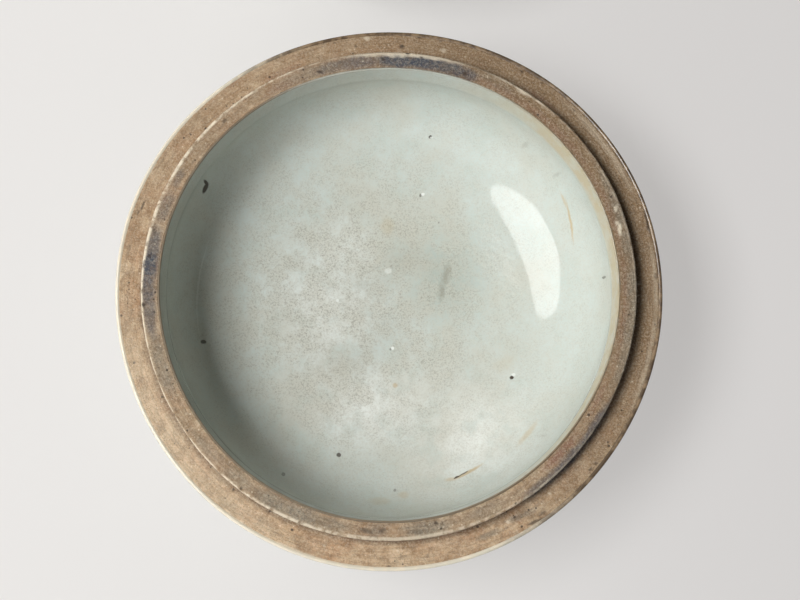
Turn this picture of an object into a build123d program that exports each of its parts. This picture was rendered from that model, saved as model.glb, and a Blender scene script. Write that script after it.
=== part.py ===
"""Round porcelain seal paste box: an open base with a raised seat, and its loose lid lying upside down beside it.

All sizes are in millimetres. Z is up, the base's foot ring stands on Z = 0 and its middle is the origin.
The lid lies towards +Y with its crown on Z = 0, as it is put down when the box is open.
Every piece is turned, so each one is a half section on the XZ plane revolved about its own upright axis.
"""
from build123d import *
from math import acos, asin, cos, degrees, radians, sin, sqrt, tan
import os

# Rim and seat of the base, measured inwards from the widest circle
outer_radius = 44.0
ledge_width = 4.5
flange_thickness = 3.1
flange_height = 3.0
flange_edge_round = 0.5

# Coats of glaze, and the part of the foot that is left bare
glaze_thickness = 0.4
bare_foot_height = 0.8

# Hollow of the base, from the mouth down to the floor
mouth_taper = 0.5
crease_depth = 3.8
undercut = 0.15
hollow_round = 13.0
dish_depth = 2.6
floor_thickness = 3.0

# Outside of the base, from the side down to the foot ring
side_round = 16.0
underside_slope = 12.0
foot_inset = 16.5
foot_width = 3.0
foot_height = 1.8
recess_depth = 1.8
foot_edge_round = 0.5

# Lid, which fits over the seat
seat_clearance = 0.4
seat_headroom = 1.2
lid_glazed_wall = 0.3
lid_hollow_round = 10.5
lid_thickness = 4.2
lid_side_round = 14.0
crown_rise = 2.0
top_panel_inset = 1.9
lid_gap = 12.0

# Radii of the base that follow from the rim
flange_outer_radius = outer_radius - ledge_width
mouth_radius = flange_outer_radius - flange_thickness
crease_radius = mouth_radius - mouth_taper
foot_outer_radius = outer_radius - foot_inset
foot_inner_radius = foot_outer_radius - foot_width

# Hollow of the base: a corner round, tangent to a wide shallow dish that is centred on the axis
crease_angle = degrees(acos((hollow_round - undercut) / hollow_round))
hollow_centre_radius = crease_radius + undercut - hollow_round
floor_height = recess_depth + floor_thickness
hollow_centre_height = floor_height + dish_depth + hollow_round
crease_height = hollow_centre_height + hollow_round * sin(radians(crease_angle))
rim_height = crease_height + crease_depth
ledge_height = rim_height - flange_height
dish_reach = hollow_centre_height - floor_height
dish_centre_height = floor_height + (hollow_centre_radius**2 + dish_reach**2 - hollow_round**2) / (2 * dish_depth)
dish_radius = dish_centre_height - floor_height
dish_angle = degrees(asin(hollow_centre_radius / (dish_radius - hollow_round)))

# Outside of the base: a side round, tangent to an underside that slopes down to the foot ring
side_centre_radius = outer_radius - side_round
slope_run = side_centre_radius + side_round * sin(radians(underside_slope)) - foot_outer_radius
side_centre_height = (
    foot_height + slope_run * tan(radians(underside_slope)) + side_round * cos(radians(underside_slope))
)

# Lid, lying on its crown: a domed top tangent to its own side round, and a hollow of even thickness.
# The top panel ends short of where the dome meets the side round, by its inset along the dome.
lid_y = 2 * outer_radius + lid_gap
lid_mouth_radius = flange_outer_radius + seat_clearance
lid_glazed_radius = lid_mouth_radius - glaze_thickness
lid_side_centre_radius = outer_radius - lid_side_round
lid_side_centre_height = crown_rise + lid_side_round
crown_radius = (lid_side_centre_radius**2 + lid_side_centre_height**2 - lid_side_round**2) / (2 * crown_rise)
crown_angle = degrees(asin(lid_side_centre_radius / (crown_radius - lid_side_round)))
ceiling_radius = crown_radius - lid_thickness
lid_hollow_centre_radius = lid_glazed_radius - lid_hollow_round
lid_hollow_angle = degrees(asin(lid_hollow_centre_radius / (ceiling_radius - lid_hollow_round)))
lid_hollow_centre_height = crown_radius - (ceiling_radius - lid_hollow_round) * cos(radians(lid_hollow_angle))
lid_bare_height = lid_hollow_centre_height + lid_glazed_wall
lid_height = lid_bare_height + seat_headroom + flange_height
top_panel_angle = crown_angle - degrees(top_panel_inset / crown_radius)

# The line that the lid turns about on its way over, half way between where it lies and where it seats
turning_y = lid_y / 2
turning_height = (ledge_height + lid_height) / 2

# Where the half sections are drawn, and what they turn about
base_section = Plane.XZ
base_axis = Axis.Z
lid_section = Plane.XZ.offset(-lid_y)
lid_axis = Axis((0, lid_y, 0), (0, 0, 1))


def base_hollow_line(depth):
    """Draws the hollow from the mouth to the axis, sunk by depth behind the face that is seen."""
    corner = CenterArc(
        (hollow_centre_radius, hollow_centre_height),
        hollow_round + depth,
        crease_angle,
        dish_angle - 90 - crease_angle,
    )
    dish = CenterArc((0, dish_centre_height), dish_radius + depth, dish_angle - 90, -dish_angle)
    mouth = Line((mouth_radius + depth, rim_height), corner @ 0)
    return mouth @ 0, dish @ 1


def base_side_line(depth):
    """Draws the outside from the ledge to the foot's bare band, sunk by depth behind the face that is seen."""
    foot_radius = foot_outer_radius - depth
    round_side = CenterArc(
        (side_centre_radius, side_centre_height), side_round - depth, 0, underside_slope - 90
    )
    side = Line((outer_radius - depth, ledge_height), round_side @ 0)
    slope_end = round_side @ 1
    foot_top = slope_end.Y - (slope_end.X - foot_radius) * tan(radians(underside_slope))
    underside = Line(slope_end, (foot_radius, foot_top))
    foot_side = Line(underside @ 1, (foot_radius, bare_foot_height))
    return side @ 0, foot_side @ 1


def underside_line(depth):
    """Draws the recess inside the foot ring, from the axis to the bare band, sunk by depth into the clay."""
    radius = foot_inner_radius + depth
    ceiling = Line((0, recess_depth + depth), (radius, recess_depth + depth))
    wall = Line(ceiling @ 1, (radius, bare_foot_height))
    return ceiling @ 0, wall @ 1


def lid_crown_line(depth):
    """Draws the lid's top panel from the axis to its edge, sunk by depth behind the face that is seen."""
    panel = CenterArc((0, crown_radius), crown_radius - depth, -90, top_panel_angle)
    return panel @ 0, panel @ 1


def lid_side_line(depth):
    """Draws the lid's outside from the top panel's edge to its rim, sunk by depth behind the face that is seen."""
    shoulder = CenterArc(
        (0, crown_radius), crown_radius - depth, top_panel_angle - 90, crown_angle - top_panel_angle
    )
    round_side = CenterArc(
        (lid_side_centre_radius, lid_side_centre_height),
        lid_side_round - depth,
        crown_angle - 90,
        90 - crown_angle,
    )
    side = Line(round_side @ 1, (outer_radius - depth, lid_height))
    return shoulder @ 0, side @ 1


def lid_hollow_line(depth):
    """Draws the lid's glazed hollow from the axis to the bare mouth, sunk by depth into the clay."""
    ceiling = CenterArc((0, crown_radius), ceiling_radius + depth, -90, lid_hollow_angle)
    corner = CenterArc(
        (lid_hollow_centre_radius, lid_hollow_centre_height),
        lid_hollow_round + depth,
        lid_hollow_angle - 90,
        90 - lid_hollow_angle,
    )
    wall = Line(corner @ 1, (lid_glazed_radius + depth, lid_bare_height))
    return ceiling @ 0, wall @ 1


def draw_coat(line):
    """Closes the section of a coat of glaze between the face that is seen and the clay behind it."""
    seen_start, seen_end = line(0)
    clay_start, clay_end = line(glaze_thickness)
    Line(seen_start, clay_start)
    Line(seen_end, clay_end)


# Base: clay body with its foot ring, ledge and raised flange
with BuildPart() as base_body:
    with BuildSketch(base_section) as base_outline:
        with BuildLine():
            recess_middle, recess_foot = underside_line(glaze_thickness)
            side_top, side_foot = base_side_line(glaze_thickness)
            mouth_edge, floor_middle = base_hollow_line(glaze_thickness)
            Polyline(recess_foot, (recess_foot.X, 0), (side_foot.X, 0), side_foot)
            Polyline(side_top, (flange_outer_radius, ledge_height), (flange_outer_radius, rim_height), mouth_edge)
            Line(floor_middle, recess_middle)
        make_face()
        flange_corner = base_outline.vertices().sort_by_distance((flange_outer_radius, rim_height))[0]
        fillet(flange_corner, flange_edge_round)
        foot_corners = base_outline.vertices().group_by(Axis.Y)[0]
        fillet(foot_corners, foot_edge_round)
    revolve(axis=base_axis)

# Base: glaze that lines the hollow, from the flange's inner edge down
with BuildPart() as base_inside_glaze:
    with BuildSketch(base_section):
        with BuildLine():
            draw_coat(base_hollow_line)
        make_face()
    revolve(axis=base_axis)

# Base: glaze on the outside, from the ledge's edge down to the foot's bare band
with BuildPart() as base_side_glaze:
    with BuildSketch(base_section):
        with BuildLine():
            draw_coat(base_side_line)
        make_face()
    revolve(axis=base_axis)

# Base: glaze in the recess inside the foot ring
with BuildPart() as base_underside_glaze:
    with BuildSketch(base_section):
        with BuildLine():
            draw_coat(underside_line)
        make_face()
    revolve(axis=base_axis)

# Lid: clay body with a flat rim and a bare mouth that goes over the base's flange
with BuildPart() as lid_body:
    with BuildSketch(lid_section):
        with BuildLine():
            crown_middle, panel_edge = lid_crown_line(glaze_thickness)
            shoulder_start, rim_outer = lid_side_line(glaze_thickness)
            ceiling_middle, glaze_end = lid_hollow_line(glaze_thickness)
            Polyline(rim_outer, (lid_mouth_radius, lid_height), glaze_end)
            Line(ceiling_middle, crown_middle)
        make_face()
    revolve(axis=lid_axis)

# Lid: glaze that lines the hollow, from the bare mouth inwards
with BuildPart() as lid_inside_glaze:
    with BuildSketch(lid_section):
        with BuildLine():
            draw_coat(lid_hollow_line)
        make_face()
    revolve(axis=lid_axis)

# Lid: glaze on the top panel, which the lid lies on here
with BuildPart() as lid_top_glaze:
    with BuildSketch(lid_section):
        with BuildLine():
            draw_coat(lid_crown_line)
        make_face()
    revolve(axis=lid_axis)

# Lid: glaze on the shoulder and side, from the top panel's edge to the rim
with BuildPart() as lid_side_glaze:
    with BuildSketch(lid_section):
        with BuildLine():
            draw_coat(lid_side_line)
        make_face()
    revolve(axis=lid_axis)

pieces = {
    "base_body": base_body,
    "base_inside_glaze": base_inside_glaze,
    "base_side_glaze": base_side_glaze,
    "base_underside_glaze": base_underside_glaze,
    "lid_body": lid_body,
    "lid_inside_glaze": lid_inside_glaze,
    "lid_top_glaze": lid_top_glaze,
    "lid_side_glaze": lid_side_glaze,
}

os.makedirs("parts", exist_ok=True)
for node, piece in pieces.items():
    piece.part.label = node
    export_step(piece.part, f"parts/{node}.step")

print(f"ledge {ledge_height:.3f}, rim {rim_height:.3f}, lid {lid_height:.3f}, closed {ledge_height + lid_height:.3f}")
print(f"floor {floor_height:.3f}, dish radius {dish_radius:.2f}, crown radius {crown_radius:.2f}")
print(f"lid middle {lid_y:.2f}, turning line at y {turning_y:.3f}, z {turning_height:.6f}")
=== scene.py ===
"""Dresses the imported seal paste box: stained clay, coats of glaze, the floor, the light and the camera.

Every piece is thrown and turned work, so each one is drawn as a half section and turned about its own
upright axis. Lengths are in metres, and MM turns millimetres to metres. The base stands on Z = 0 about the
origin, and the lid lies upside down towards +Y.
"""
import bpy
import numpy
from bpy.props import FloatProperty, FloatVectorProperty, PointerProperty
from bpy.types import Operator, Panel, PropertyGroup
from math import acos, asin, atan2, cos, degrees, exp, hypot, pi, radians, sin, tan
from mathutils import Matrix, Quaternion, Vector, noise


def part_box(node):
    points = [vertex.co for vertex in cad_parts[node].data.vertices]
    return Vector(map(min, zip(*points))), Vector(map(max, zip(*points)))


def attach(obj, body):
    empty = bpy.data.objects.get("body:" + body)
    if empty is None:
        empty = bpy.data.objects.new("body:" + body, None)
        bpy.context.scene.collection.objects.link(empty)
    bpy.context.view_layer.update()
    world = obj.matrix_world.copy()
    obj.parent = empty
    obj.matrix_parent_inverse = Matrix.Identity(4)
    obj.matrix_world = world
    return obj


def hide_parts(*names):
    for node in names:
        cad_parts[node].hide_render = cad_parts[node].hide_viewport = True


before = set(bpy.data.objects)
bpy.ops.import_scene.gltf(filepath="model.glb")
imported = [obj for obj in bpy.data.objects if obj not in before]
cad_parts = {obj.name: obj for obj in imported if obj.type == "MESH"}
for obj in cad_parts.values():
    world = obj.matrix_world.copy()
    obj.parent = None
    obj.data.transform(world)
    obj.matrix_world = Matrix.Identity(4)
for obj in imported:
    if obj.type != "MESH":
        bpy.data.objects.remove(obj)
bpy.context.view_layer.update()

bl_info = {
    "name": "Seal Paste Box",
    "version": (1, 0, 0),
    "blender": (4, 5, 0),
    "location": "View3D > Sidebar > Seal Box",
    "description": "Round porcelain seal paste box with a stained bare seat and its loose lid",
    "category": "Add Mesh",
}

MM = 0.001

# Sizes that the frame gives: the widest circle, the ledge, the rim, and where the lid lies
side_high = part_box("base_side_glaze")[1]
lid_low, lid_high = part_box("lid_body")
OUTER_RADIUS = side_high.x
LEDGE_HEIGHT = side_high.z
RIM_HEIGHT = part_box("base_body")[1].z
RECESS_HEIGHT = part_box("base_underside_glaze")[1].z
LID_Y = (lid_low.y + lid_high.y) / 2
LID_HEIGHT = lid_high.z

# How far the dressed pieces stay inside the solids at their widest and highest
MARGIN = 0.02 * MM
LID_RADIUS = OUTER_RADIUS - MARGIN


def linear(code, alpha=1.0):
    """Turns an sRGB hex colour to linear values."""
    parts = [int(code[i:i + 2], 16) / 255 for i in (1, 3, 5)]
    return tuple(v / 12.92 if v <= 0.04045 else ((v + 0.055) / 1.055) ** 2.4 for v in parts) + (alpha,)


def length(name, description, millimetres):
    """Gives a size property with its default in millimetres."""
    return FloatProperty(name=name, description=description, default=millimetres * MM, unit="LENGTH")


def angle(name, description, in_degrees):
    """Gives an angle property with its default in degrees."""
    return FloatProperty(name=name, description=description, default=radians(in_degrees), unit="ROTATION")


def colour(name, description, code):
    """Gives a colour property with its default as an sRGB hex value."""
    return FloatVectorProperty(
        name=name, description=description, default=linear(code), size=4, subtype="COLOR",
    )


class SealBoxSizes(PropertyGroup):
    """Sizes of the sections that the pieces are turned from"""

    ledge_width: length("Ledge width", "Width of the bare ledge outside the flange", 4.5)
    flange_thickness: length("Flange thickness", "Width of the bare top of the flange", 3.1)
    glaze: length("Glaze thickness", "Thickness of each coat of glaze", 0.4)
    clay_drop: length("Bare top drop", "How far the bare tops lie below the glaze's edge", 0.1)
    mouth_taper: length("Mouth taper", "How much the mouth narrows down to the crease", 0.5)
    crease_depth: length("Crease depth", "Depth of the crease below the rim", 3.8)
    undercut: length("Undercut", "How far the hollow widens below the crease", 0.06)
    shoulder_reach: length("Shoulder reach", "Radius where the corner round meets the shoulder", 29.9)
    shoulder_lean: angle("Shoulder lean", "Lean of the hollow where the corner round starts", 25.5)
    floor_reach: length("Floor reach", "Radius where the shoulder meets the wide floor", 24.0)
    floor_lean: angle("Floor lean", "Lean of the hollow where the wide floor ends", 12.0)
    side_round: length("Side round", "Radius of the base's outer side round", 16.0)
    underside_slope: angle("Underside slope", "Slope of the underside down to the foot", 12.0)
    foot_radius: length("Foot radius", "Outer radius of the foot ring", 27.5)
    foot_width: length("Foot width", "Width of the foot ring", 3.0)
    foot_height: length("Foot height", "Height of the foot ring below the underside", 1.8)
    bare_foot: length("Bare foot", "Height of the bare band at the foot", 0.8)
    lid_thickness: length("Lid thickness", "Thickness of the lid in its middle", 4.2)
    lid_crown_rise: length("Crown rise", "Rise of the lid's domed top", 2.0)
    lid_side_round: length("Lid side round", "Radius of the lid's outer side round", 14.0)
    lid_hollow_round: length("Lid hollow round", "Radius of the lid's inner corner", 10.5)
    lid_mouth: length("Lid mouth", "Inner radius of the lid's bare mouth", 39.9)
    lid_bare_depth: length("Lid bare depth", "Depth of the lid's bare mouth", 4.2)


class SealBoxColours(PropertyGroup):
    """Colours of the clay, the glaze, the cobalt and the stains"""

    clay_light: colour("Light clay", "Clean fired clay", "#d4b896")
    clay_warm: colour("Warm clay", "Fired clay with more iron", "#b8936d")
    clay_flash: colour("Flashed clay", "Fired clay where the flame flashed it orange", "#b4835d")
    # dark clay is also laid as painted shade on the bowl's lip and along the outside edge towards +X
    clay_dark: colour("Dark clay", "Clay that handling has darkened", "#836849")
    # dirt also paints shade in the flange's corner and in the outside edge's chips
    dirt: colour("Dirt", "Old dirt in corners and pits", "#40332a")
    grey_dirt: colour("Grey dirt", "Greyish dirt rubbed into the clay", "#7a7568")
    # cream also paints highlight on the flange's outer corner towards -X
    cream: colour("Cream slip", "Rubbed edges and thin glaze at the rim", "#efe1c8")
    cobalt: colour("Cobalt", "Cobalt under a thin coat", "#364352")
    rust: colour("Rust", "Iron stain with a reddish tint", "#8a5f50")
    glaze: colour("Glaze", "Pale grey-green glaze of the hollow", "#ccd3cc")
    glaze_warm: colour("Warm glaze", "Glaze with a beige tint", "#c9c5b6")
    glaze_cool: colour("Cool glaze", "Glaze where it lies thicker", "#c2ccc4")
    # the next two tints also carry painted light and painted shade on the bowl's floor and walls
    glaze_pale_and_lit: colour("Pale glaze", "Glaze where it lies thinner over white clay", "#eff0e9")
    glaze_deep_and_shaded: colour("Deep glaze", "Glaze where it pooled and went dull", "#a3aea4")
    speckle: colour("Speckle", "Fine grey-brown speckle under the glaze", "#8e8a7c")
    stain_yellow: colour("Yellow stain", "Yellowish stain by the mouth", "#c2a877")
    # the bubble tint also paints a thin reflection on the bowl's left wall
    bubble_and_reflection: colour("Bubble", "Burst bubbles and thick white spots in the glaze", "#eef0ea")
    outside: colour("Outside glaze", "Pale glaze outside", "#cdd4cd")
    floor: colour("Floor", "Pale paper floor", "#e8e5e2")
    # painted shade: the paper's darker side towards +X
    floor_painted_shade: colour("Floor shade", "Pale paper floor towards its darker side", "#d8d5d3")


def add_node(tree, kind, inputs=None, **settings):
    """Adds a node, with its settings and with its inputs set or linked."""
    node = tree.nodes.new(kind)
    for name, value in settings.items():
        setattr(node, name, value)
    for socket, value in (inputs or {}).items():
        if isinstance(value, bpy.types.NodeSocket):
            tree.links.new(value, node.inputs[socket])
        else:
            node.inputs[socket].default_value = value
    return node


def start_group(name, inputs, output):
    """Starts a node group with float or vector inputs and one output."""
    group = bpy.data.node_groups.new(name, "ShaderNodeTree")
    for socket, kind in inputs:
        group.interface.new_socket(name=socket, in_out="INPUT", socket_type=kind)
    group.interface.new_socket(name=output, in_out="OUTPUT", socket_type="NodeSocketFloat")
    return group


def ring_mark_group():
    """Makes the group for one mark on turned work, placed by its angle and radius."""
    if "Ring mark" in bpy.data.node_groups:
        return bpy.data.node_groups["Ring mark"]
    group = start_group("Ring mark", [
        ("Place", "NodeSocketVector"),
        ("Turn back", "NodeSocketFloat"),
        ("Radius", "NodeSocketFloat"),
        ("Half length", "NodeSocketFloat"),
        ("Half width", "NodeSocketFloat"),
        ("Edge", "NodeSocketFloat"),
        ("Slant", "NodeSocketFloat"),
    ], "Mark")
    given = add_node(group, "NodeGroupInput").outputs
    turned = add_node(group, "ShaderNodeVectorRotate", {
        "Vector": given["Place"], "Angle": given["Turn back"],
    }, rotation_type="Z_AXIS")
    parts = add_node(group, "ShaderNodeSeparateXYZ", {0: turned.outputs[0]}).outputs
    flat = add_node(group, "ShaderNodeCombineXYZ", {0: parts[0], 1: parts[1]}).outputs[0]
    far = add_node(group, "ShaderNodeVectorMath", {0: flat}, operation="LENGTH").outputs["Value"]
    swing = add_node(group, "ShaderNodeMath", {0: parts[1], 1: parts[0]}, operation="ARCTAN2").outputs[0]
    along = add_node(group, "ShaderNodeMath", {0: swing, 1: given["Radius"]}, operation="MULTIPLY").outputs[0]
    across = add_node(group, "ShaderNodeMath", {0: far, 1: given["Radius"]}, operation="SUBTRACT").outputs[0]
    local = add_node(group, "ShaderNodeCombineXYZ", {0: along, 1: across}).outputs[0]
    slanted = add_node(group, "ShaderNodeVectorRotate", {
        "Vector": local, "Angle": given["Slant"],
    }, rotation_type="Z_AXIS").outputs[0]
    half = add_node(group, "ShaderNodeCombineXYZ", {
        0: given["Half length"], 1: given["Half width"], 2: 1.0,
    }).outputs[0]
    scaled = add_node(group, "ShaderNodeVectorMath", {0: slanted, 1: half}, operation="DIVIDE").outputs[0]
    reach = add_node(group, "ShaderNodeVectorMath", {0: scaled}, operation="LENGTH").outputs["Value"]
    inner = add_node(group, "ShaderNodeMath", {0: 1.0, 1: given["Edge"]}, operation="SUBTRACT").outputs[0]
    outer = add_node(group, "ShaderNodeMath", {0: 1.0, 1: given["Edge"]}, operation="ADD").outputs[0]
    mark = add_node(group, "ShaderNodeMapRange", {
        "Value": reach, "From Min": inner, "From Max": outer, "To Min": 1.0, "To Max": 0.0,
    }, interpolation_type="SMOOTHSTEP")
    add_node(group, "NodeGroupOutput", {0: mark.outputs[0]})
    return group


def turned_place(tree, middle_y=0.0):
    """Gives the place about a piece's axis, its radius and height, and a place that follows the turning."""
    whole = add_node(tree, "ShaderNodeTexCoord").outputs["Object"]
    place = add_node(tree, "ShaderNodeMapping", {
        "Vector": whole, "Location": (0.0, -middle_y, 0.0),
    }).outputs[0]
    flat = add_node(tree, "ShaderNodeVectorMath", {
        0: place, 1: (1.0, 1.0, 0.0),
    }, operation="MULTIPLY").outputs[0]
    radius = add_node(tree, "ShaderNodeVectorMath", {0: flat}, operation="LENGTH").outputs["Value"]
    height = add_node(tree, "ShaderNodeSeparateXYZ", {0: place}).outputs[2]
    way = add_node(tree, "ShaderNodeVectorMath", {0: flat}, operation="NORMALIZE").outputs[0]
    slow = add_node(tree, "ShaderNodeVectorMath", {0: way, "Scale": 4.0 * MM}, operation="SCALE").outputs[0]
    rise = add_node(tree, "ShaderNodeMath", {0: radius, 1: height}, operation="ADD").outputs[0]
    lift = add_node(tree, "ShaderNodeCombineXYZ", {2: rise}).outputs[0]
    turned = add_node(tree, "ShaderNodeVectorMath", {0: slow, 1: lift}, operation="ADD").outputs[0]
    return place, radius, height, turned


def patches(tree, place, size, start, end, detail=3.0, rough=0.55):
    """Gives patches of a size in mm, 0 where the noise is under start and 1 where it is over end."""
    cloud = add_node(tree, "ShaderNodeTexNoise", {
        "Vector": place, "Scale": 1 / (size * MM), "Detail": detail, "Roughness": rough,
    }).outputs[0]
    return add_node(tree, "ShaderNodeMapRange", {
        "Value": cloud, "From Min": start, "From Max": end,
    }, interpolation_type="SMOOTHSTEP").outputs[0]


def uneven_push(tree, place, size, detail):
    """Gives a push to all sides about zero, in lumps of a size in mm."""
    push = add_node(tree, "ShaderNodeTexNoise", {
        "Vector": place, "Scale": 1 / (size * MM), "Detail": detail,
    }).outputs[1]
    return add_node(tree, "ShaderNodeVectorMath", {
        0: push, 1: (0.5, 0.5, 0.5),
    }, operation="SUBTRACT").outputs[0]


def fray(tree, place, push, reach):
    """Moves a place by a push that reaches so many mm, so that what is drawn there has a ragged edge."""
    shift = add_node(tree, "ShaderNodeVectorMath", {
        0: push, "Scale": reach * MM,
    }, operation="SCALE").outputs[0]
    return add_node(tree, "ShaderNodeVectorMath", {0: place, 1: shift}, operation="ADD").outputs[0]


def lay_colours(tree, ground, layers):
    """Lays tints over a ground colour. A layer is a tint, where it shows, and its strength."""
    seen = ground
    for tint, where, strength in layers:
        level = add_node(tree, "ShaderNodeMath", {0: where, 1: strength}, operation="MULTIPLY").outputs[0]
        seen = add_node(tree, "ShaderNodeMix", {0: level, 6: seen, 7: tint}, data_type="RGBA").outputs[2]
    return seen


def specks(tree, place, spacing, size, share):
    """Gives specks of a size in mm, one in each cell of the spacing, in a share of the cells."""
    cell = add_node(tree, "ShaderNodeTexVoronoi", {"Vector": place, "Scale": 1 / (spacing * MM)})
    chosen = add_node(tree, "ShaderNodeSeparateColor", {0: cell.outputs["Color"]}).outputs[0]
    limit = size / spacing / 2
    room = add_node(tree, "ShaderNodeMapRange", {
        "Value": chosen, "From Min": 1 - share, "From Max": 1.0, "To Min": 0.0, "To Max": limit,
    }).outputs[0]
    left = add_node(tree, "ShaderNodeMath", {
        0: room, 1: cell.outputs["Distance"],
    }, operation="SUBTRACT").outputs[0]
    return add_node(tree, "ShaderNodeMapRange", {
        "Value": left, "From Min": -limit * 0.1, "From Max": limit * 0.3,
    }, interpolation_type="SMOOTHSTEP").outputs[0]


def marks(tree, place, table, edge=0.35):
    """Gives the strongest of a table of marks, whose rows are as in the tables below."""
    strongest = None
    for turn, radius, half_length, half_width, strength, slant in table:
        mark = add_node(tree, "ShaderNodeGroup", {}, node_tree=ring_mark_group())
        tree.links.new(place, mark.inputs["Place"])
        mark.inputs["Turn back"].default_value = -radians(turn)
        mark.inputs["Radius"].default_value = radius * MM
        mark.inputs["Half length"].default_value = half_length * MM
        mark.inputs["Half width"].default_value = half_width * MM
        mark.inputs["Edge"].default_value = edge
        mark.inputs["Slant"].default_value = -radians(slant)
        level = add_node(tree, "ShaderNodeMath", {0: mark.outputs[0], 1: strength}, operation="MULTIPLY")
        if strongest is None:
            strongest = level.outputs[0]
        else:
            strongest = add_node(tree, "ShaderNodeMath", {
                0: strongest, 1: level.outputs[0],
            }, operation="MAXIMUM").outputs[0]
    return strongest


def spot(x, y, half_length, half_width, strength, slant=0.0):
    """Gives a row for a mark at x and y in mm, with its slant from the X axis in degrees."""
    turn = degrees(atan2(y, x))
    return turn, hypot(x, y), half_length, half_width, strength, turn + 90 - slant


def start_material(name):
    """Starts an empty material with its output."""
    material = bpy.data.materials.new(name)
    material.use_nodes = True
    tree = material.node_tree
    tree.nodes.clear()
    return material, tree


# Marks on the bare clay of the base: angle and radius, half length and half width in mm, strength, slant
COBALT_MARKS = [
    (88, 37.55, 3.2, 1.15, 1.0, 0), (81, 37.6, 4.0, 1.1, 1.0, 0), (74.5, 37.5, 3.6, 1.1, 0.9, 0),
    (70, 37.4, 1.6, 0.9, 0.7, 0), (97, 37.6, 4.0, 1.15, 0.6, 0), (103, 37.5, 3.4, 1.0, 0.45, 0),
    (174.5, 38.0, 2.6, 1.3, 1.0, 0), (170, 38.0, 3.0, 1.2, 0.7, 0), (180, 38.0, 3.0, 1.1, 0.85, 0),
    (186, 37.9, 3.6, 1.0, 0.65, 0), (160, 38.0, 2.4, 0.9, 0.4, 0), (152, 38.1, 1.6, 0.6, 0.35, 0),
    (308, 38.8, 3.5, 0.8, 0.7, 0), (316, 38.85, 5.0, 0.8, 0.75, 0), (325, 38.8, 4.5, 0.75, 0.7, 0),
]
GREY_MARKS = [
    (196, 37.6, 3.2, 1.2, 0.7, 0), (202, 37.6, 3.0, 1.1, 0.7, 0), (242, 37.9, 3.6, 1.1, 0.9, 0),
    (249, 37.9, 3.6, 1.1, 0.95, 0), (256, 37.9, 3.0, 0.9, 0.7, 0), (267, 37.9, 1.6, 0.8, 0.7, 0),
    (279, 38.0, 3.4, 1.1, 0.85, 0), (110, 37.6, 5.0, 1.1, 0.5, 0), (293, 37.8, 3.0, 0.9, 0.5, 0),
    (359, 38.6, 4.5, 1.0, 0.85, 0), (350, 38.5, 4.0, 0.9, 0.75, 0), (341, 38.5, 4.0, 0.8, 0.65, 0),
    (10, 38.6, 3.0, 0.9, 0.7, 0), (19, 38.6, 3.0, 0.9, 0.75, 0), (25, 38.8, 3.0, 0.7, 0.6, 0),
    (160, 37.4, 2.0, 0.7, 0.4, 0), (300, 41.0, 2.4, 0.5, 0.85, 8), (292, 41.4, 1.8, 0.5, 0.7, 0),
    (222, 37.8, 3.0, 0.9, 0.5, 0), (232, 37.8, 3.0, 0.9, 0.55, 0), (63, 38.0, 4.0, 0.8, 0.35, 0),
]
BROWN_MARKS = [
    (35, 38.3, 8.0, 1.1, 0.75, 0), (60, 38.3, 8.0, 1.0, 0.6, 0), (50, 41.8, 12.0, 2.2, 0.45, 0),
    (20, 41.5, 12.0, 2.0, 0.5, 0), (352, 41.6, 12.0, 2.0, 0.45, 0), (75, 42.0, 9.0, 1.2, 0.4, 0),
    (141, 42.3, 1.2, 0.6, 0.6, 0), (145, 42.5, 1.0, 0.5, 0.7, 0), (150.6, 41.6, 0.8, 0.5, 0.6, 0),
    (160, 42.9, 5.0, 0.5, 0.5, 0), (185, 41.6, 6.0, 1.4, 0.3, 0), (229, 36.9, 3.0, 0.3, 0.8, 0),
    (243, 36.8, 4.0, 0.25, 0.6, 0), (266, 36.9, 3.0, 0.35, 0.6, 0), (335, 42.0, 10.0, 1.6, 0.35, 0),
    (112, 42.0, 13.0, 2.4, 0.42, 0), (136, 41.9, 13.0, 2.4, 0.5, 0), (160, 41.9, 10.0, 2.2, 0.42, 0),
    (315, 42.2, 8.0, 1.6, 0.35, 0), (141, 38.0, 9.0, 1.3, 0.45, 0), (120, 38.0, 6.0, 1.1, 0.35, 0),
    (38, 38.2, 9.0, 1.2, 0.6, 0), (15, 38.2, 9.0, 1.2, 0.45, 0), (325, 38.2, 9.0, 1.2, 0.4, 0),
]
RUST_MARKS = [
    (315.5, 37.2, 3.4, 0.6, 0.75, 0), (331, 37.1, 3.0, 0.4, 0.4, 0), (118, 37.4, 3.0, 0.7, 0.3, 0),
    (45, 37.3, 8.0, 0.6, 0.32, 0), (20, 37.3, 7.0, 0.5, 0.28, 0), (355, 37.3, 9.0, 0.5, 0.3, 0),
    (60, 37.3, 6.0, 0.6, 0.28, 0), (52, 40.6, 3.0, 0.4, 0.35, 0), (116, 40.6, 3.0, 0.5, 0.3, 0),
]
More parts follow.
